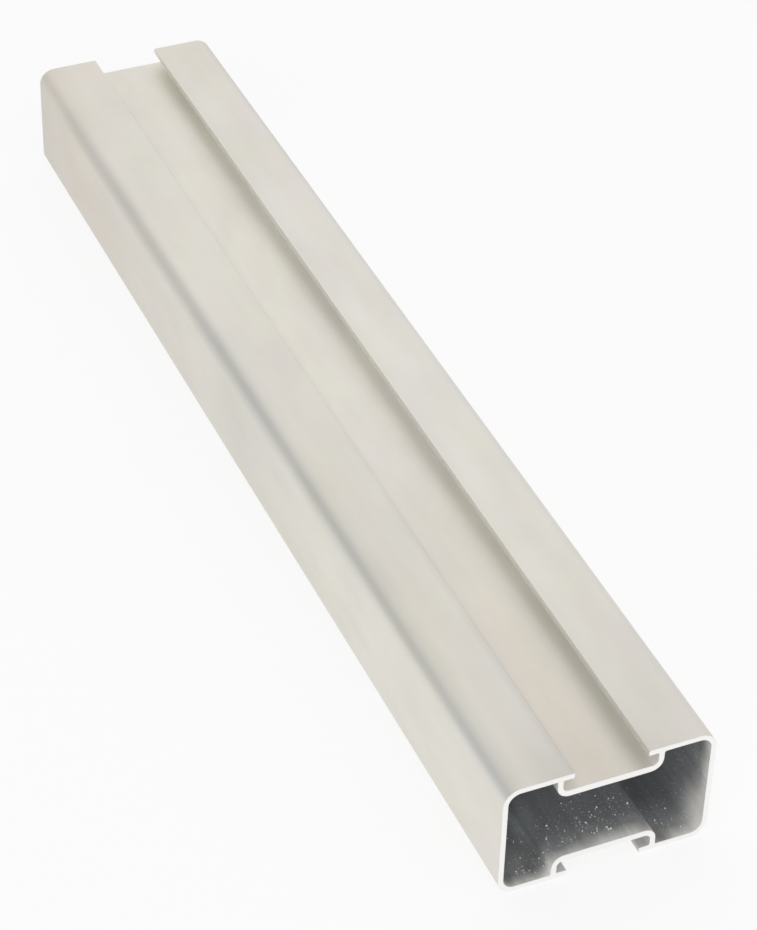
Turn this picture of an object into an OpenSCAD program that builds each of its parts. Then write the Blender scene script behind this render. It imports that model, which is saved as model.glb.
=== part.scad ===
// Hollow aluminium extrusion with a lipped slot along its top and the same slot along its
// underside, sawn square to a short length. The section lies in X and Z, and the length
// runs along Y. The origin is in the middle of the underside.

/* [Stock] */
// Overall width of the section, across the slots
section_w = 66; // [54:0.5:120]
// Overall height of the section, from underside to top
section_h = 40; // [30:0.5:100]
// Length that the stock is sawn to
stock_l = 400; // [50:1:6000]

/* [Tube walls] */
// Thickness of the two side walls
side_t = 1.7; // [1:0.1:4]
// Thickness of the top and bottom walls beside the slots
plate_t = 1.8; // [1:0.1:4]
// Outside radius of the four long edges
edge_r = 5.5; // [1:0.1:9]

/* [Slots] */
// Width of each slot's mouth, from lip to lip
mouth_w = 22.8; // [8:0.1:30]
// How far each lip reaches in over its slot
lip_reach = 3.3; // [1:0.1:6]
// Thickness of the lips
lip_t = 1.9; // [1:0.1:4]
// Clear height of each slot under its lips
undercut_h = 4.2; // [2.5:0.1:9]
// Thickness of the webs that hang from the lips and carry the slot's floor
web_t = 1.8; // [1:0.1:4]
// Thickness of each slot's floor
floor_t = 2.2; // [1:0.1:5]

/* [Radii] */
// Radius inside each slot where a web bends into the floor
bend_r = 1.8; // [0.5:0.1:3]
// Radius of the small fillets where the webs meet the top and bottom walls
root_r = 0.5; // [0.2:0.1:1]
// Radius on the edges of the lips
lip_edge_r = 0.4; // [0.1:0.05:0.7]

/* [Hidden] */
$fn = 96;
// How far a cut runs past the face that it opens
overrun = 1;
hollow_w = section_w - 2 * side_t;
hollow_h = section_h - 2 * plate_t;
// The hollow's corners share their centres with the long edges, so the wall keeps its thickness
hollow_r = max(edge_r - plate_t, root_r);
slot_w = mouth_w + 2 * lip_reach;
slot_depth = lip_t + undercut_h;
// The channel is what stands into the hollow: a slot with its webs and floor
channel_w = slot_w + 2 * web_t;
channel_depth = slot_depth + floor_t;
// Inside and outside of each bend share a centre too
channel_r = bend_r + floor_t;
// Heights from the middle of the section
top_z = section_h / 2;
lip_under_z = top_z - lip_t;
slot_floor_z = top_z - slot_depth;
channel_floor_z = top_z - channel_depth;
plate_under_z = top_z - plate_t;

// What a rounded corner leaves out: the corner is at the origin, the shape lies towards -X and -Y
module corner_waste(radius) {
    translate([-radius, -radius])
        difference() {
            square(radius);
            circle(radius);
        }
}

// A copy on each side of the middle, to the right and to the left
module left_and_right() {
    for (side = [0, 1])
        mirror([side, 0])
            children();
}

// A copy at each slot, at the top and at the underside
module top_and_underside() {
    for (side = [0, 1])
        mirror([0, side])
            children();
}

// A rectangle about the origin with its four corners rounded
module rounded_rectangle(width, height, radius) {
    difference() {
        square([width, height], center = true);
        top_and_underside()
            left_and_right()
                translate([width / 2, height / 2])
                    corner_waste(radius);
    }
}

// The upper channel's outline on the side of the hollow, up to the top face
module channel_outline() {
    difference() {
        translate([-channel_w / 2, channel_floor_z])
            square([channel_w, channel_depth]);
        left_and_right()
            translate([channel_w / 2, channel_floor_z])
                mirror([0, 1])
                    corner_waste(channel_r);
    }
}

// The small fillets in the hollow where the upper webs meet the top wall
module web_root_fillets() {
    left_and_right()
        translate([channel_w / 2, plate_under_z])
            mirror([1, 0])
                corner_waste(root_r);
}

// The inside of the tube, with both channels standing into it
module hollow_outline() {
    difference() {
        rounded_rectangle(hollow_w, hollow_h, hollow_r);
        top_and_underside() {
            channel_outline();
            web_root_fillets();
        }
    }
}

// The upper slot's wide space, under the lips and down to the bent floor
module undercut_outline() {
    difference() {
        translate([-slot_w / 2, slot_floor_z])
            square([slot_w, undercut_h]);
        left_and_right() {
            translate([slot_w / 2, slot_floor_z])
                mirror([0, 1])
                    corner_waste(bend_r);
            translate([slot_w / 2, lip_under_z])
                corner_waste(root_r);
        }
    }
}

// The upper slot's mouth, with the waste of the lips' rounded edges
module mouth_outline() {
    translate([-mouth_w / 2, slot_floor_z + bend_r])
        square([mouth_w, slot_depth - bend_r + overrun]);
    left_and_right() {
        translate([mouth_w / 2, top_z])
            mirror([1, 0])
                corner_waste(lip_edge_r);
        translate([mouth_w / 2, lip_under_z])
            mirror([1, 0])
                mirror([0, 1])
                    corner_waste(lip_edge_r);
    }
}

// The whole section about its middle
module section_outline() {
    difference() {
        rounded_rectangle(section_w, section_h, edge_r);
        hollow_outline();
        top_and_underside() {
            undercut_outline();
            mouth_outline();
        }
    }
}

// The stock: the section carried along its length, lying on its underside
module extrusion() {
    color("#d7d3cb")
        translate([0, 0, section_h / 2])
            rotate([90, 0, 0])
                linear_extrude(height = stock_l, center = true)
                    section_outline();
}

extrusion();
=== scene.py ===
import math

import bpy
import numpy as np
from mathutils import Matrix, Vector


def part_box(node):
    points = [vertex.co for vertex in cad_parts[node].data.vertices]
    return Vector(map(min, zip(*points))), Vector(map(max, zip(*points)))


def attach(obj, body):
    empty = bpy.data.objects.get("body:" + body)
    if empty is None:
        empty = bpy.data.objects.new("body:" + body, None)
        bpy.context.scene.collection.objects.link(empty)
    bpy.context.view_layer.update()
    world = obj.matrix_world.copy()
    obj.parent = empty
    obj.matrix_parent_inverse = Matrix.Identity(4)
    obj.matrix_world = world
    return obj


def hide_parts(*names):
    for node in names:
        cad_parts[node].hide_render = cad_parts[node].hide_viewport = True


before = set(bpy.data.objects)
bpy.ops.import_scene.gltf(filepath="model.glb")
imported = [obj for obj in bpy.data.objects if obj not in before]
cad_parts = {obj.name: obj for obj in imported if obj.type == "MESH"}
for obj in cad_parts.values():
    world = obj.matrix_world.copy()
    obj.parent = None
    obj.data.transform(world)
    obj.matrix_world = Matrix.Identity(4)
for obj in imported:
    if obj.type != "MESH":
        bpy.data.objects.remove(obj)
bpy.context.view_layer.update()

MM = 0.001

# The stock's overall sizes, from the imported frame
stock_low, stock_high = (np.array(corner, float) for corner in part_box("extrusion"))
HALF_WIDTH = (stock_high[0] - stock_low[0]) / 2
HALF_HEIGHT = (stock_high[2] - stock_low[2]) / 2
HALF_LENGTH = (stock_high[1] - stock_low[1]) / 2
MIDDLE = (stock_high + stock_low) / 2

# The section's walls, slots and radii
SIDE_WALL = 1.7 * MM
PLATE_WALL = 1.8 * MM
EDGE_RADIUS = 5.5 * MM
MOUTH_WIDTH = 22.8 * MM
LIP_REACH = 3.3 * MM
LIP_THICKNESS = 1.9 * MM
UNDERCUT_HEIGHT = 4.2 * MM
WEB_WALL = 1.8 * MM
FLOOR_WALL = 2.2 * MM
BEND_RADIUS = 1.8 * MM
ROOT_RADIUS = 0.5 * MM
LIP_EDGE_RADIUS = 0.4 * MM
# How far from a web the land's part that carries the lip begins
LIP_BASE = 2.0 * MM

# Steps of the section's grid, and cells along the length
SIDE_STEPS = 10
EDGE_STEPS = 16
LAND_STEPS = 4
LIP_STEPS = 4
LIP_ARC_STEPS = 4
LIP_FACE_STEPS = 1
LIP_UNDER_STEPS = 2
ROOT_STEPS = 5
WEB_STEPS = 2
BEND_STEPS = 10
SLOT_FLOOR_STEPS = 10
LENGTH_STEPS = 80
# Rows of cells over a sawn end: an eased edge, the face and the other eased edge
END_ROWS = 3

# The sawn edges are eased by about this much, a little more in some places than in others
EASE = 0.14 * MM
EASE_SWAY_SHARE = 0.35
EASE_WAVES = (5, 13, 31)

# Dust that the saw left in the hollow near both ends
DUST_SEED = 11
DUST_GRAINS = 310
DUST_LENGTH = (0.20 * MM, 0.95 * MM)
DUST_LENGTH_SKEW = 3.0
DUST_WIDTH_SHARE = (0.5, 1.0)
DUST_THICKNESS_SHARE = 0.85
# A grain's height at a distance from its middle is its curl times the square of that distance
DUST_CURL = 200.0
# Spread of the lean that is added to a grain's heading, which is one long
DUST_TILT = 0.5
GRAIN_ROUND = 6
GRAIN_RINGS = 3
# Drifts of dust: share of the grains, place as a share of the way from the left wall's middle down
# over the hollow's lower faces to the right wall's middle, spread as a share of that way, depth from
# the end, and how unevenly the depth is spread
DRIFTS = (
    (0.62, 0.475, 0.080, 9.2 * MM, 0.58),
    (0.26, 0.228, 0.035, 6.5 * MM, 0.50),
    (0.06, 0.79, 0.040, 7.0 * MM, 0.50),
    (0.06, 0.50, 0.300, 14.0 * MM, 0.50),
)

# Finishes, as linear colours; places and reaches in the hollow are in millimetres
SKIN = (0.834, 0.802, 0.732)
SKIN_PINK = (0.820, 0.781, 0.712)
SKIN_GREEN = (0.844, 0.817, 0.745)
SKIN_METALLIC = 0.5
SKIN_ROUGHNESS = (0.46, 0.54)
SKIN_EDGE_TINT = (0.74, 0.74, 0.74, 1.0)
SHINE = 0.15
# The hollow: painted shade deep inside, painted light towards the sawn ends; the pale rim colour is also
# the powder's
HOLLOW_SHADED = (0.270, 0.283, 0.293)
HOLLOW_HALF_SHADED = (0.36, 0.366, 0.364)
HOLLOW_HALF_SHARE = 0.5
HOLLOW_LIT_RIM_AND_POWDER = (0.97, 0.955, 0.915)
HOLLOW_LIT_RIM_DEPTH = 9 * MM
# Painted light on the right wall's corner near the near rim
HOLLOW_LIT_CORNER = (0.90, 0.88, 0.83)
HOLLOW_LIT_CORNER_AT = (33, -200, 9)
HOLLOW_LIT_CORNER_REACH = (14, 15, 15)
# A paler place in the left trough near the end
HOLLOW_PALE_PLACE = (0.36, 0.365, 0.36)
HOLLOW_PALE_PLACE_AT = (-24, -189, 1)
HOLLOW_PALE_PLACE_REACH = (9, 13, 9)
HOLLOW_METALLIC = 0.1
HOLLOW_ROUGHNESS = 0.6
SAWN = (0.942, 0.936, 0.918)
SAWN_METALLIC = 0.8
SAWN_ROUGHNESS = 0.42
GRAIN = (0.97, 0.97, 0.96)
GRAIN_METALLIC = 0.1
GRAIN_ROUGHNESS = 0.4
GRAIN_SHINE = 1.0

# Patterns, in repeats per metre, with the detail and roughness of their noise
DIE_LINES = 1400.0
HOLLOW_LINES = 220.0
LINE_DETAIL = 4.0
LINE_ROUGHNESS = 0.6
# The noise's values at the faint and the strong lines
LINE_RANGE = (0.3, 0.7)
DIE_LINES_ALONG_SHARE = 0.004
DIE_LINE_DEPTH = 0.02 * MM
SKIN_STREAK = (0.975, 1.0)
HOLLOW_STREAK = (0.76, 1.08)
FILM_CLOUDS = 70.0
FILM_DETAIL = 3.0
FILM_ROUGHNESS = 0.55
# The noise's values at which the film is pink, plain and green
FILM_TONES = (0.36, 0.5, 0.64)
FILM_ALONG_SHARE = 0.4
FILM_TINT_SHARE = 0.12
# noise that varies how deep the hollow's painted light reaches
HOLLOW_RIM_NOISE = 130.0
RIM_NOISE_DETAIL = 2.0
HOLLOW_RIM_NOISE_DEPTH = 6 * MM
POWDER_GRAINS = 1900.0
POWDER_DETAIL = 1.0
POWDER_FROM = (0.62, 0.80)
POWDER_DEPTH = 45 * MM
GRAIN_SPOTS = 2000.0
GRAIN_DULL_SHARE = 0.6
GRAIN_RANGE = (0.3, 0.6)
SAW_PITCH = 0.4 * MM
SAW_CENTRE = (0.04, -0.09)
SAW_DEPTH = 0.01 * MM
SAW_WANDER = 1.5
SAW_DETAIL = 2.0
SAW_DULL_SHARE = 0.96
# The wave pattern's phase grows by this much for each unit of its scale and of distance
WAVE_RATE = 20.0
BUMP_STRENGTH = 0.3

# Sockets of the Mix node when it mixes colours
MIX_SHARE = 0
MIX_FIRST = 6
MIX_SECOND = 7
MIX_RESULT = 2

# Soft patches, mostly painted light and painted shade, a few pink, yellow or blue tints: middle and reach
# in millimetres, and how the patch tints the metal
PAINTED_LIGHT_AND_TINTS = (
    # left side: painted light on the near half, grey middle, pink far half, painted shade at the far end
    ((-33, -95, 20), (14, 265, 44), (1.090, 1.095, 1.090)),
    ((-33, -6, 20), (14, 52, 40), (0.918, 0.922, 0.928)),
    ((-33, 205, 20), (14, 220, 40), (1.000, 0.957, 0.942)),
    ((-33, 212, 20), (14, 45, 44), (0.920, 0.950, 0.950)),
    # slot floor: pink near half, painted shade at the near end, painted light beyond and along its left,
    # where the left lip shades it
    ((-3, -190, 34), (16, 170, 5), (0.985, 0.948, 0.935)),
    ((-2, -212, 34), (18, 48, 5), (0.935, 0.940, 0.940)),
    ((2, 60, 34), (18, 330, 5), (1.085, 1.085, 1.085)),
    ((-6.5, 0, 34), (4.5, 450, 3), (1.035, 1.040, 1.055)),
    # beside and under the right lip: painted shadow at the near end, painted light beyond that lightens the
    # lip's shadow
    ((9.5, -195, 34), (5.5, 55, 4), (0.925, 0.935, 0.945)),
    ((16.5, 0, 36), (9, 420, 6), (1.080, 1.100, 1.140)),
    ((13.5, 0, 34), (3.6, 420, 2), (1.120, 1.135, 1.160)),
    ((14, 115, 34), (5, 55, 3), (1.090, 1.090, 1.100)),
    ((11, 204, 35), (6, 34, 6), (1.120, 1.120, 1.120)),
    # painted light on the right lip's face and its two rounded edges
    ((11.4, 0, 39), (1.5, 420, 1.2), (1.080, 1.080, 1.090)),
    ((11.5, 0, 39.9), (0.6, 420, 0.45), (1.110, 1.110, 1.115)),
    ((11.5, 0, 38.2), (0.7, 420, 0.5), (1.100, 1.100, 1.110)),
    # top: painted shade at the near end and on the left half, a little yellow there, painted light on
    # stretches beyond, pink far end
    ((2, -215, 41), (48, 90, 9), (0.890, 0.890, 0.895)),
    ((-17, -206, 40), (10, 42, 5), (0.935, 0.940, 0.945)),
    ((-19, -100, 41), (13, 170, 6), (0.960, 0.960, 0.965)),
    ((-24, -100, 41), (8.5, 160, 5), (0.980, 0.970, 0.950)),
    ((-18, 80, 41), (10, 95, 6), (1.025, 1.025, 1.025)),
    ((22.5, -5, 41), (15, 170, 6), (1.034, 1.037, 1.048)),
    ((28, 110, 41), (9, 55, 6), (1.030, 1.030, 1.045)),
    ((0, 214, 41), (70, 80, 6), (1.000, 0.968, 0.958)),
    ((-27, 190, 41), (7, 75, 5), (0.965, 0.968, 0.962)),
    # painted shade along the left edge's rounding, where it reflects the dim corner, a little blue at its
    # near end, painted light at its far end
    ((-32, 0, 37.6), (4, 240, 5.5), (0.860, 0.865, 0.870)),
    ((-33, 105, 36), (3.5, 120, 4.5), (0.945, 0.945, 0.940)),
    ((-29.5, -140, 39.6), (6.2, 230, 5), (0.872, 0.875, 0.870)),
    ((-32, -198, 37.5), (4.5, 50, 5), (1.000, 1.015, 1.055)),
    ((-33, 150, 36.5), (3, 36, 4), (0.935, 0.935, 0.925)),
    ((-31, 208, 38), (6, 48, 6), (1.050, 1.030, 1.015)),
    # painted shade in a streak along the left lip
    ((-11.4, -190, 38), (3.4, 230, 9), (0.895, 0.897, 0.905)),
    # right edge: painted shade over its highlight at the far end, and a little blue
    ((33, 160, 37.6), (3.2, 175, 3.6), (0.800, 0.800, 0.805)),
    ((31, 0, 39), (5, 420, 5), (0.988, 1.000, 1.035)),
    # inside the lower slot: painted shade, duller and greyer, most of all on the right lip's edge
    ((13.5, 0, 3), (5, 900, 5), (0.700, 0.720, 0.850)),
    ((-13.5, 0, 3), (5, 900, 5), (0.800, 0.845, 1.030)),
    ((11.4, 0, 1), (1.6, 900, 1.6), (0.740, 0.750, 0.770)),
)

# Painted light and shade in soft patches at the hollow's near end: middle and reach in millimetres, and how
# much they lighten or darken the metal
HOLLOW_PAINTED_LIGHT_AND_SHADE = (
    # left trough: painted shade behind the rim, painted light on the slot's web beside it
    ((-28.8, -197.2, 2), (3.8, 4.5, 4), 0.57),
    ((-20.5, -196, 1.8), (4, 6, 3), 0.62),
    ((-16.5, -196, 4.5), (2.5, 7, 5), 1.30),
    ((-16.5, -179, 4), (6, 15, 8), 2.10),
    # back of the lower slot's floor: painted shade at two places at the rim
    ((-3.5, -197.5, 8.3), (4, 5, 3), 0.68),
    ((13.2, -199, 8), (3, 4, 3), 0.72),
    # right trough: painted shade beside the slot's foot, painted light behind
    ((19, -198.5, 1.8), (5, 5.5, 4), 0.38),
    ((22, -190, 2), (9, 9, 5), 1.40),
    # right wall: painted light at the foot, painted shade above, with painted light between
    ((31.3, -190.5, 4), (5, 12, 7), 1.50),
    ((31.3, -192, 15), (5, 7, 5), 0.74),
    ((31.3, -198, 21), (4, 6, 4), 1.20),
    ((31.3, -195.5, 30), (5, 5, 8), 0.75),
    # painted light a little further in
    ((0, -170, 4), (45, 20, 25), 1.70),
)

# The photograph's camera
EYE = Vector((-0.30925, -0.72166, 0.62670))
AIM = Vector((0.00188, -0.03359, 0.02))
ROLL = math.radians(1.713)
FOCAL_PIXELS = 3043.5
LONG_SIDE_PIXELS = 930
SENSOR = 36.0

# The studio
FLOOR_SIDE = 30.0
FLOOR_DROP = 0.02 * MM
FLOOR_WHITE = (0.93, 0.93, 0.93, 1.0)
FLOOR_GLOW_SHARE = 0.85
WALLS = (1.08, 1.08, 1.08)
RIGHT_WALL = (0.75, 0.75, 0.75)
RIGHT_WALL_FROM = 0.35
RIGHT_WALL_FULL = 0.95
CEILING = (0.84, 0.84, 0.84)
CEILING_FULL = 1.15
DIM_CORNER = (0.20, 0.235, 0.255)
DIM_CORNER_TOWARDS = (-0.858, 0.312, 0.407)
DIM_CORNER_FROM = 0.70
DIM_CORNER_FULL = 0.95
SOFTBOX_AT = Vector((-1.25, -1.20, 0.45))
SOFTBOX_WIDTH = 1.4
SOFTBOX_HEIGHT = 1.2
SOFTBOX_RADIANCE = 1.0


def rounded_loop(corners, radii, arc_steps, straight_steps):
    """A closed path through corners, with a tangent arc of the given radius at each.

    A place in the section is one complex number, x + iz. The arc at a corner turns the normal of
    the run that comes in by the corner's own angle, about a centre one radius to the inside, and a
    straight leads to the next arc. Gives the points and the unit normals on the right of the path.
    """
    leaving = np.roll(corners, -1) - corners
    leaving = leaving / np.abs(leaving)
    coming = np.roll(leaving, 1)
    turn = np.angle(leaving / coming)
    cut = radii * np.tan(np.abs(turn) / 2)
    arc_from = corners - coming * cut
    arc_to = corners + leaving * cut
    right = -1j * coming
    reach = np.sign(turn) * radii
    centres = arc_from - reach * right
    points, normals = [], []
    for i, next_arc in enumerate(np.roll(arc_from, -1)):
        share = np.arange(arc_steps[i]) / max(arc_steps[i], 1)
        normal = right[i] * np.exp(1j * turn[i] * share)
        points.append(centres[i] + reach[i] * normal)
        normals.append(normal)
        share = np.arange(straight_steps[i]) / straight_steps[i]
        points.append(arc_to[i] + (next_arc - arc_to[i]) * share)
        normals.append(np.full(straight_steps[i], -1j * leaving[i]))
    return np.concatenate(points), np.concatenate(normals)


def mirrored_loop(quarter, between):
    """The path round the whole section from its upper right quarter, mirrored both ways.

    quarter lists (corner, radius, arc steps) from the side to the slot's floor, and between the
    steps of the straights between them, then of the slot's floor and of the side.
    """
    corners, radii, arcs = (np.array(column) for column in zip(*quarter))
    back = corners[::-1]
    corners = np.concatenate([corners, -np.conj(back), -corners, np.conj(back)])
    radii = np.tile(np.concatenate([radii, radii[::-1]]), 2)
    arcs = np.tile(np.concatenate([arcs, arcs[::-1]]), 2)
    inner, slot_floor, side = between[:-2], between[-2], between[-1]
    straights = np.tile([*inner, slot_floor, *inner[::-1], side], 2)
    points, normals = rounded_loop(corners, radii, arcs, straights)
    return points + MIDDLE[0] + 1j * MIDDLE[2], normals


def outer_loop():
    """The outside of the section, in and out of both slots, with normals out of the metal."""
    half_mouth = MOUTH_WIDTH / 2
    half_slot = half_mouth + LIP_REACH
    lip_start = half_slot + WEB_WALL + LIP_BASE
    lip_under = HALF_HEIGHT - LIP_THICKNESS
    slot_floor = lip_under - UNDERCUT_HEIGHT
    quarter = [
        (HALF_WIDTH + 1j * HALF_HEIGHT, EDGE_RADIUS, EDGE_STEPS),
        (lip_start + 1j * HALF_HEIGHT, 0, 0),
        (half_mouth + 1j * HALF_HEIGHT, LIP_EDGE_RADIUS, LIP_ARC_STEPS),
        (half_mouth + 1j * lip_under, LIP_EDGE_RADIUS, LIP_ARC_STEPS),
        (half_slot + 1j * lip_under, ROOT_RADIUS, ROOT_STEPS),
        (half_slot + 1j * slot_floor, BEND_RADIUS, BEND_STEPS),
    ]
    between = [LAND_STEPS, LIP_STEPS, LIP_FACE_STEPS, LIP_UNDER_STEPS, WEB_STEPS,
               SLOT_FLOOR_STEPS, SIDE_STEPS]
    return mirrored_loop(quarter, between)


def hollow_loop():
    """The inside of the section, with normals out of the metal.

    It has as many points as the outside, each across the wall from its partner. The lip's whole
    outline is partnered with the short straight of the plate beside the web.
    """
    half_hollow = HALF_WIDTH - SIDE_WALL
    half_channel = MOUTH_WIDTH / 2 + LIP_REACH + WEB_WALL
    lip_start = half_channel + LIP_BASE
    plate_under = HALF_HEIGHT - PLATE_WALL
    channel_floor = HALF_HEIGHT - LIP_THICKNESS - UNDERCUT_HEIGHT - FLOOR_WALL
    lip_round_steps = LIP_STEPS + 2 * LIP_ARC_STEPS + LIP_FACE_STEPS + LIP_UNDER_STEPS
    quarter = [
        (half_hollow + 1j * plate_under, EDGE_RADIUS - PLATE_WALL, EDGE_STEPS),
        (lip_start + 1j * plate_under, 0, 0),
        (half_channel + 1j * plate_under, ROOT_RADIUS, ROOT_STEPS),
        (half_channel + 1j * channel_floor, BEND_RADIUS + FLOOR_WALL, BEND_STEPS),
    ]
    between = [LAND_STEPS, lip_round_steps, WEB_STEPS, SLOT_FLOOR_STEPS, SIDE_STEPS]
    points, normals = mirrored_loop(quarter, between)
    return points, -normals


def carried(section, y):
    """Rows of the section's points carried to places y along the length, as x, y and z."""
    section, y = np.broadcast_arrays(section, y)
    return np.stack([section.real, y, section.imag], axis=-1)


def eased_edge(count):
    """How far the sawn edge is eased at each point round the section.

    The width is the mean ease times one plus a share of the mean of a few slow sine waves.
    """
    round_share = 2 * np.pi * np.arange(count) / count
    sway = sum(np.sin(waves * round_share + waves) for waves in EASE_WAVES) / len(EASE_WAVES)
    return EASE * (1 + EASE_SWAY_SHARE * sway)


def stock_grid():
    """The piece of stock as one closed grid, and which finish each of its rows has.

    Columns go round the section. Rows go along the outside from the near end to the far end, over
    the far end's sawn face to the hollow, back through the hollow and over the near face to the
    start, so the grid closes both ways. Each end's rows step in by the eased edge.
    """
    outer, outer_normal = outer_loop()
    hollow, hollow_normal = hollow_loop()
    ease = eased_edge(len(outer))
    share = np.linspace(-1, 1, LENGTH_STEPS + 1)[:, None]
    along = MIDDLE[1] + share * (HALF_LENGTH - ease)
    near, far = MIDDLE[1] - HALF_LENGTH, MIDDLE[1] + HALF_LENGTH
    rims = np.stack([outer - ease * outer_normal, hollow - ease * hollow_normal])
    points = np.concatenate([
        carried(outer, along),
        carried(rims, far),
        carried(hollow, along[::-1]),
        carried(rims[::-1], near),
    ])
    facing = np.zeros((2, len(outer)), complex)
    normals = np.concatenate([
        carried(np.tile(outer_normal, (LENGTH_STEPS + 1, 1)), 0.0),
        carried(facing, 1.0),
        carried(np.tile(hollow_normal, (LENGTH_STEPS + 1, 1)), 0.0),
        carried(facing, -1.0),
    ])
    skin, sawn, inside = 0, 1, 2
    finishes = [skin] * LENGTH_STEPS + [sawn] * END_ROWS + [inside] * LENGTH_STEPS + [sawn] * END_ROWS
    return points, normals, np.array(finishes)


def new_piece(name, points, faces, materials):
    """A mesh object at the origin, smooth, with its place in its vertices."""
    mesh = bpy.data.meshes.new(name)
    mesh.from_pydata(points.tolist(), [], faces)
    mesh.polygons.foreach_set("use_smooth", np.ones(len(mesh.polygons), bool))
    for material in materials:
        mesh.materials.append(material)
    piece = bpy.data.objects.new(name, mesh)
    bpy.context.scene.collection.objects.link(piece)
    return piece


def make_stock(materials):
    """The stock's mesh: each cell of the closed grid is one quad, turned to face out of the metal."""
    points, normals, finishes = stock_grid()
    rows, columns = points.shape[:2]
    row, column = np.indices((rows, columns))
    next_row = (row + 1) % rows
    next_column = (column + 1) % columns
    corners = [row * columns + column, next_row * columns + column,
               next_row * columns + next_column, row * columns + next_column]
    faces = np.stack(corners, axis=-1).reshape(-1, 4)
    piece = new_piece("profile_stock", points.reshape(-1, 3), faces.tolist(), materials)
    piece.data.polygons.foreach_set("material_index", np.repeat(finishes, columns))
    piece.data.normals_split_custom_set_from_vertices(normals.reshape(-1, 3).tolist())
    return piece


def dust_places(rng):
    """Where the grains lie: places on the hollow's lower half, their normals and places along Y.

    Each drift spreads its grains normally round its place on the lower half's outline. Their depth
    from the end is the drift's own times e to a normal number, so a few lie much deeper.
    """
    hollow, normal = hollow_loop()
    below = np.flatnonzero(hollow.imag < MIDDLE[2])
    start = below[np.argmin(hollow.real[below] - hollow.imag[below])]
    path = np.roll(hollow, -start)[:len(below)]
    facing = np.roll(normal, -start)[:len(below)]
    along = np.concatenate([[0.0], np.cumsum(np.abs(np.diff(path)))])
    share, place, spread, depth, unevenness = (np.array(column) for column in zip(*DRIFTS))
    drift = np.searchsorted(np.cumsum(share), rng.random(DUST_GRAINS) * share.sum())
    way = (place + spread * rng.normal(size=(DUST_GRAINS, 1)))[np.arange(DUST_GRAINS), drift]
    way = np.clip(way, 0, 1) * along[-1]
    deep = depth[drift] * np.exp(unevenness[drift] * rng.normal(size=DUST_GRAINS))
    end = np.where(np.arange(DUST_GRAINS) % 2, 1, -1)
    y = MIDDLE[1] + end * (HALF_LENGTH - EASE - deep)
    return np.interp(way, along, path), np.interp(way, along, facing), y


def unit_grain():
    """A ball of rings between two poles: its points and its faces, poles last."""
    angle = 2 * np.pi * np.arange(GRAIN_ROUND) / GRAIN_ROUND
    fall = np.pi * np.arange(1, GRAIN_RINGS + 1) / (GRAIN_RINGS + 1)
    ring = np.stack([np.outer(np.sin(fall), np.cos(angle)), np.outer(np.sin(fall), np.sin(angle)),
                     np.outer(np.cos(fall), np.ones(GRAIN_ROUND))], axis=-1).reshape(-1, 3)
    points = np.concatenate([ring, [[0, 0, 1], [0, 0, -1]]])
    here = np.arange(GRAIN_ROUND)
    ahead = (here + 1) % GRAIN_ROUND
    last = (GRAIN_RINGS - 1) * GRAIN_ROUND
    top, bottom = len(points) - 2, len(points) - 1
    bands = np.arange(GRAIN_RINGS - 1)[:, None] * GRAIN_ROUND
    quads = np.stack([bands + here, bands + GRAIN_ROUND + here,
                      bands + GRAIN_ROUND + ahead, bands + ahead], axis=-1).reshape(-1, 4)
    caps = np.concatenate([
        np.stack([np.full(GRAIN_ROUND, top), here, ahead], axis=-1),
        np.stack([np.full(GRAIN_ROUND, bottom), last + ahead, last + here], axis=-1),
    ])
    return points, quads, caps


def make_dust(material):
    """Sawing dust: small rounded grains that lie on the hollow's faces, all in one mesh.

    A grain is a ball stretched to length, width and thickness, curled by the square of its length,
    turned about its face's normal, tilted a little and set down on the face.
    """
    rng = np.random.default_rng(DUST_SEED)
    place, normal, y = dust_places(rng)
    shortest, longest = DUST_LENGTH
    length = shortest + (longest - shortest) * rng.random(DUST_GRAINS) ** DUST_LENGTH_SKEW
    width = length * rng.uniform(*DUST_WIDTH_SHARE, DUST_GRAINS)
    thickness = width * DUST_THICKNESS_SHARE
    size = np.stack([length, width, thickness], axis=-1) / 2
    ball, quads, caps = unit_grain()
    grain = ball * size[:, None, :]
    grain[..., 2] += DUST_CURL * grain[..., 0] ** 2
    up = carried(normal, 0.0)
    heading = rng.uniform(0, 2 * np.pi, DUST_GRAINS)
    lean = np.stack([rng.normal(0, DUST_TILT, DUST_GRAINS) for axis in range(3)], axis=-1)
    first = np.cross(up, [0.0, 1.0, 0.0])
    ahead = first * np.cos(heading)[:, None] + np.array([0.0, 1.0, 0.0]) * np.sin(heading)[:, None]
    ahead = ahead + lean
    ahead /= np.linalg.norm(ahead, axis=-1, keepdims=True)
    side = np.cross(up, ahead)
    side /= np.linalg.norm(side, axis=-1, keepdims=True)
    lift = np.cross(ahead, side)
    axes = np.stack([ahead, side, lift], axis=1)
    turned = grain @ axes
    height = (turned * up[:, None]).sum(-1)
    centre = carried(place, y) - up * height.min(axis=1, keepdims=True)
    points = centre[:, None] + turned
    shift = (np.arange(DUST_GRAINS) * len(ball))[:, None, None]
    faces = (shift + quads).reshape(-1, 4).tolist() + (shift + caps).reshape(-1, 3).tolist()
    return new_piece("sawing_dust", points.reshape(-1, 3), faces, [material])


def add_node(tree, kind, inputs=None, **settings):
    """A node with its settings, and its inputs set to a value or joined to another node's output."""
    node = tree.nodes.new(kind)
    for name, value in settings.items():
        setattr(node, name, value)
    for name, value in (inputs or {}).items():
        if isinstance(value, bpy.types.NodeSocket):
            tree.links.new(value, node.inputs[name])
        else:
            node.inputs[name].default_value = value
    return node


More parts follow.
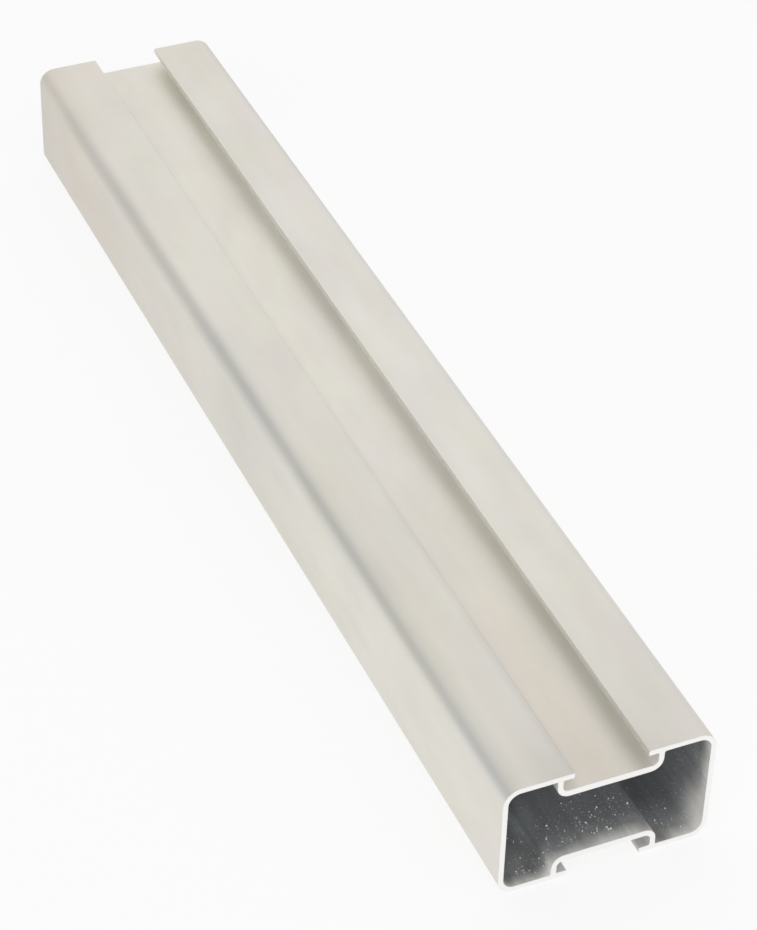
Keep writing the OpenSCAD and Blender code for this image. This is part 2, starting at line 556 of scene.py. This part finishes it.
def new_metal(name, colour, metallic, roughness):
    """A metal material with its shader, which the finishes then vary."""
    material = bpy.data.materials.new(name)
    material.use_nodes = True
    tree = material.node_tree
    shader = tree.nodes["Principled BSDF"]
    shader.inputs["Base Color"].default_value = (*colour, 1.0)
    shader.inputs["Metallic"].default_value = metallic
    shader.inputs["Roughness"].default_value = roughness
    shader.inputs["Specular IOR Level"].default_value = SHINE
    return material, tree, shader


def ramp(tree, factor, stops):
    """A colour for each value of factor, between the given stops."""
    node = add_node(tree, "ShaderNodeValToRGB", {"Fac": factor})
    elements = node.color_ramp.elements
    while len(elements) < len(stops):
        elements.new(1.0)
    for element, (position, colour) in zip(elements, stops):
        element.position = position
        element.color = (*colour, 1.0)
    return node.outputs["Color"]


def eased(tree, value, start, full):
    """A share that rises smoothly from 0 at start to 1 at full."""
    node = add_node(tree, "ShaderNodeMapRange", {"Value": value, "From Min": start, "From Max": full},
                    interpolation_type="SMOOTHSTEP")
    return node.outputs["Result"]


def mixed(tree, share, first, second, blend="MIX"):
    """Two colours blended by a share. Either may be a plain colour or another node's output."""
    colours = [part if isinstance(part, bpy.types.NodeSocket) else (*part, 1.0) for part in (first, second)]
    inputs = {MIX_SHARE: share, MIX_FIRST: colours[0], MIX_SECOND: colours[1]}
    node = add_node(tree, "ShaderNodeMix", inputs, data_type="RGBA", blend_type=blend)
    return node.outputs[MIX_RESULT]


def drawn_out(tree, place, along_share):
    """The place with Y shortened to a share, so that a pattern there is drawn out along the length."""
    node = add_node(tree, "ShaderNodeMapping", {"Vector": place, "Scale": (1.0, along_share, 1.0)})
    return node.outputs["Vector"]


def die_lines(tree, place, lines):
    """Lines along the length, as the die leaves them: noise that is drawn out along Y."""
    drawn = drawn_out(tree, place, DIE_LINES_ALONG_SHARE)
    noise = add_node(tree, "ShaderNodeTexNoise",
                     {"Vector": drawn, "Scale": lines, "Detail": LINE_DETAIL, "Roughness": LINE_ROUGHNESS})
    return noise.outputs["Fac"]


def lined(tree, lines, tones):
    """A grey that follows the die lines from the first tone to the second, to multiply a colour by."""
    return ramp(tree, lines, [(level, (tone,) * 3) for level, tone in zip(LINE_RANGE, tones)])


def raised(tree, shader, height, depth):
    """A shader's fine relief, of the given depth."""
    bump = add_node(tree, "ShaderNodeBump",
                    {"Height": height, "Strength": BUMP_STRENGTH, "Distance": depth})
    tree.links.new(bump.outputs["Normal"], shader.inputs["Normal"])


def soft_patch(tree, place, middle, reach):
    """A share that is 1 at a patch's middle and fades out smoothly at its reach."""
    middle = np.array(middle) * MM
    reach = np.array(reach) * MM
    inside = add_node(tree, "ShaderNodeMapping",
                      {"Vector": place, "Scale": tuple(1 / reach), "Location": tuple(-middle / reach)})
    away = add_node(tree, "ShaderNodeVectorMath", {0: inside.outputs["Vector"]}, operation="LENGTH")
    return eased(tree, away.outputs["Value"], 1.0, 0.0)


def mill_skin():
    """The outside as it came from the press: satin, with die lines, a faint uneven film and soft patches of
    painted light and shade.
    """
    material, tree, shader = new_metal("mill_skin", SKIN, SKIN_METALLIC, SKIN_ROUGHNESS[0])
    place = add_node(tree, "ShaderNodeTexCoord").outputs["Object"]
    lines = die_lines(tree, place, DIE_LINES)
    cloud = add_node(tree, "ShaderNodeTexNoise",
                     {"Vector": drawn_out(tree, place, FILM_ALONG_SHARE), "Scale": FILM_CLOUDS,
                      "Detail": FILM_DETAIL, "Roughness": FILM_ROUGHNESS})
    tint = ramp(tree, cloud.outputs["Fac"], list(zip(FILM_TONES, (SKIN_PINK, SKIN, SKIN_GREEN))))
    tint = mixed(tree, FILM_TINT_SHARE, tint, cloud.outputs["Color"], "OVERLAY")
    colour = mixed(tree, 1.0, tint, lined(tree, lines, SKIN_STREAK), "MULTIPLY")
    # soft patches of painted light and painted shade, a few of them tints of the film
    for middle, reach, patch in PAINTED_LIGHT_AND_TINTS:
        colour = mixed(tree, soft_patch(tree, place, middle, reach), colour, patch, "MULTIPLY")
    tree.links.new(colour, shader.inputs["Base Color"])
    shader.inputs["Specular Tint"].default_value = SKIN_EDGE_TINT
    rough = add_node(tree, "ShaderNodeMapRange",
                     {"Value": lines, "From Min": LINE_RANGE[0], "From Max": LINE_RANGE[1],
                      "To Min": SKIN_ROUGHNESS[0], "To Max": SKIN_ROUGHNESS[1]})
    tree.links.new(rough.outputs["Result"], shader.inputs["Roughness"])
    raised(tree, shader, lines, DIE_LINE_DEPTH)
    return material


def hollow_lit_rim(tree, place, reach):
    """A share of painted light that rises to 1 at the sawn ends, over a depth that noise varies."""
    rim_noise = add_node(tree, "ShaderNodeTexNoise", {"Vector": drawn_out(tree, place, FILM_ALONG_SHARE),
                                                   "Scale": HOLLOW_RIM_NOISE, "Detail": RIM_NOISE_DETAIL})
    uneven_depth = add_node(tree, "ShaderNodeMath",
                       {0: rim_noise.outputs["Fac"], 1: HOLLOW_RIM_NOISE_DEPTH, 2: reach},
                       operation="MULTIPLY_ADD")
    full = HALF_LENGTH + HOLLOW_RIM_NOISE_DEPTH / 2
    rim = add_node(tree, "ShaderNodeMapRange", {"Value": uneven_depth.outputs[0],
                                                "From Min": full - HOLLOW_LIT_RIM_DEPTH, "From Max": full})
    return rim.outputs["Result"]


def settled_powder(tree, place, reach):
    """A share that is 1 on fine specks of powder, fewer and fainter away from the sawn ends."""
    powder = add_node(tree, "ShaderNodeTexNoise",
                      {"Vector": place, "Scale": POWDER_GRAINS, "Detail": POWDER_DETAIL})
    specks = eased(tree, powder.outputs["Fac"], *POWDER_FROM)
    settled = eased(tree, reach, HALF_LENGTH - POWDER_DEPTH, HALF_LENGTH)
    return add_node(tree, "ShaderNodeMath", {0: specks, 1: settled}, operation="MULTIPLY").outputs[0]


def hollow_skin():
    """The inside: painted shade deep in, painted light close to each sawn end, with powder and patches of
    painted light and shade.
    """
    material, tree, shader = new_metal("hollow_skin", HOLLOW_SHADED, HOLLOW_METALLIC, HOLLOW_ROUGHNESS)
    place = add_node(tree, "ShaderNodeTexCoord").outputs["Object"]
    lines = die_lines(tree, place, HOLLOW_LINES)
    y = add_node(tree, "ShaderNodeSeparateXYZ", {"Vector": place}).outputs["Y"]
    reach = add_node(tree, "ShaderNodeMath", {0: y}, operation="ABSOLUTE").outputs[0]
    # painted shade deep in the hollow, painted light rising towards each sawn end
    tone = ramp(tree, hollow_lit_rim(tree, place, reach),
                [(0.0, HOLLOW_SHADED), (HOLLOW_HALF_SHARE, HOLLOW_HALF_SHADED), (1.0, HOLLOW_LIT_RIM_AND_POWDER)])
    tone = mixed(tree, settled_powder(tree, place, reach), tone, HOLLOW_LIT_RIM_AND_POWDER)
    tone = mixed(tree, 1.0, tone, lined(tree, lines, HOLLOW_STREAK), "MULTIPLY")
    # a paler place in the left trough near the end
    pale_place = soft_patch(tree, place, HOLLOW_PALE_PLACE_AT, HOLLOW_PALE_PLACE_REACH)
    tone = mixed(tree, pale_place, tone, HOLLOW_PALE_PLACE)
    # painted light on the right wall's corner near the rim
    corner = soft_patch(tree, place, HOLLOW_LIT_CORNER_AT, HOLLOW_LIT_CORNER_REACH)
    tone = mixed(tree, corner, tone, HOLLOW_LIT_CORNER)
    # soft patches of painted light and painted shade at the near end
    for middle, patch_reach, shade in HOLLOW_PAINTED_LIGHT_AND_SHADE:
        patch = soft_patch(tree, place, middle, patch_reach)
        tone = mixed(tree, patch, tone, (shade,) * 3, "MULTIPLY")
    tree.links.new(tone, shader.inputs["Base Color"])
    return material


def dulled(colour, share):
    """A colour at a share of its strength."""
    return tuple(share * part for part in colour)


def sawn_face():
    """The cut ends: bright bare metal with the blade's fine arcs."""
    material, tree, shader = new_metal("sawn_face", SAWN, SAWN_METALLIC, SAWN_ROUGHNESS)
    place = add_node(tree, "ShaderNodeTexCoord").outputs["Object"]
    blade = add_node(tree, "ShaderNodeMapping",
                     {"Vector": place, "Location": (-SAW_CENTRE[0], 0.0, -SAW_CENTRE[1])})
    arcs = add_node(tree, "ShaderNodeTexWave",
                    {"Vector": blade.outputs["Vector"], "Scale": 2 * math.pi / (WAVE_RATE * SAW_PITCH),
                     "Distortion": SAW_WANDER, "Detail": SAW_DETAIL},
                    wave_type="RINGS", rings_direction="Y").outputs["Fac"]
    tone = ramp(tree, arcs, [(0.0, dulled(SAWN, SAW_DULL_SHARE)), (1.0, SAWN)])
    tree.links.new(tone, shader.inputs["Base Color"])
    raised(tree, shader, arcs, SAW_DEPTH)
    return material


def bright_grain():
    """Freshly cut grains, each a little different in tone."""
    material, tree, shader = new_metal("bright_grain", GRAIN, GRAIN_METALLIC, GRAIN_ROUGHNESS)
    place = add_node(tree, "ShaderNodeTexCoord").outputs["Object"]
    noise = add_node(tree, "ShaderNodeTexNoise", {"Vector": place, "Scale": GRAIN_SPOTS})
    tones = (dulled(GRAIN, GRAIN_DULL_SHARE), GRAIN)
    tone = ramp(tree, noise.outputs["Fac"], list(zip(GRAIN_RANGE, tones)))
    tree.links.new(tone, shader.inputs["Base Color"])
    shader.inputs["Specular IOR Level"].default_value = GRAIN_SHINE
    return material


def pale_floor():
    """A matt white floor that shows as white to the eye and in the metal, and keeps a soft shadow."""
    material = bpy.data.materials.new("pale_floor")
    material.use_nodes = True
    tree = material.node_tree
    tree.nodes.remove(tree.nodes["Principled BSDF"])
    matt = add_node(tree, "ShaderNodeBsdfDiffuse", {"Color": FLOOR_WHITE})
    glow = add_node(tree, "ShaderNodeEmission", {"Color": (1.0, 1.0, 1.0, 1.0), "Strength": 1.0})
    ray = add_node(tree, "ShaderNodeLightPath").outputs
    to_eye = add_node(tree, "ShaderNodeMath", {0: ray["Is Camera Ray"], 1: FLOOR_GLOW_SHARE},
                      operation="MULTIPLY")
    to_metal = add_node(tree, "ShaderNodeMath", {0: to_eye.outputs[0], 1: ray["Is Glossy Ray"]},
                        operation="ADD")
    share = add_node(tree, "ShaderNodeMath", {0: to_metal.outputs[0], 1: ray["Is Transmission Ray"]},
                     operation="ADD", use_clamp=True)
    mix = add_node(tree, "ShaderNodeMixShader",
                   {0: share.outputs[0], 1: matt.outputs["BSDF"], 2: glow.outputs["Emission"]})
    tree.links.new(mix.outputs["Shader"], tree.nodes["Material Output"].inputs["Surface"])
    return material


def make_floor():
    """The stage's floor, one flat square just under the stock."""
    half = FLOOR_SIDE / 2
    z = stock_low[2] - FLOOR_DROP
    points = np.array([[-half, -half, z], [half, -half, z], [half, half, z], [-half, half, z]])
    floor = new_piece("studio_floor", points, [[0, 1, 2, 3]], [pale_floor()])


def make_world():
    """Soft light from all round: white walls, greyer on the right, a grey ceiling, a dim left corner."""
    world = bpy.data.worlds.new("studio")
    bpy.context.scene.world = world
    world.use_nodes = True
    tree = world.node_tree
    direction = add_node(tree, "ShaderNodeTexCoord").outputs["Generated"]
    part = add_node(tree, "ShaderNodeSeparateXYZ", {"Vector": direction}).outputs
    towards = add_node(tree, "ShaderNodeVectorMath", {0: direction, 1: DIM_CORNER_TOWARDS},
                       operation="DOT_PRODUCT")
    walls = mixed(tree, eased(tree, part["X"], RIGHT_WALL_FROM, RIGHT_WALL_FULL), WALLS, RIGHT_WALL)
    room = mixed(tree, eased(tree, part["Z"], 0.0, CEILING_FULL), walls, CEILING)
    corner = eased(tree, towards.outputs["Value"], DIM_CORNER_FROM, DIM_CORNER_FULL)
    light = mixed(tree, corner, room, DIM_CORNER)
    tree.links.new(light, tree.nodes["Background"].inputs["Color"])


def make_softbox():
    """A wide soft lamp at the front left, facing the stock."""
    lamp = bpy.data.lights.new("softbox", "AREA")
    lamp.shape = "RECTANGLE"
    lamp.size = SOFTBOX_WIDTH
    lamp.size_y = SOFTBOX_HEIGHT
    lamp.energy = SOFTBOX_RADIANCE * math.pi * SOFTBOX_WIDTH * SOFTBOX_HEIGHT
    box = bpy.data.objects.new("softbox", lamp)
    bpy.context.scene.collection.objects.link(box)
    box.location = SOFTBOX_AT
    box.rotation_euler = (Vector(MIDDLE) - SOFTBOX_AT).to_track_quat("-Z", "Y").to_euler()
    box.visible_camera = False


def make_camera():
    """The photograph's camera: an eye, a point that it aims at and a small roll about its axis."""
    data = bpy.data.cameras.new("photo_camera")
    data.sensor_width = SENSOR
    data.lens = FOCAL_PIXELS / LONG_SIDE_PIXELS * SENSOR
    camera = bpy.data.objects.new("photo_camera", data)
    bpy.context.scene.collection.objects.link(camera)
    forward = (AIM - EYE).normalized()
    level = forward.cross(Vector((0, 0, 1))).normalized()
    right = level * math.cos(ROLL) + level.cross(forward) * math.sin(ROLL)
    axes = Matrix((right, right.cross(forward), -forward)).transposed()
    camera.matrix_world = Matrix.Translation(EYE) @ axes.to_4x4()
    bpy.context.scene.camera = camera


stock = make_stock([mill_skin(), sawn_face(), hollow_skin()])
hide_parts("extrusion")
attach(stock, "root")
dust = make_dust(bright_grain())
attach(dust, "root")

make_floor()
make_world()
make_softbox()
make_camera()
bpy.context.scene.view_settings.view_transform = "Standard"
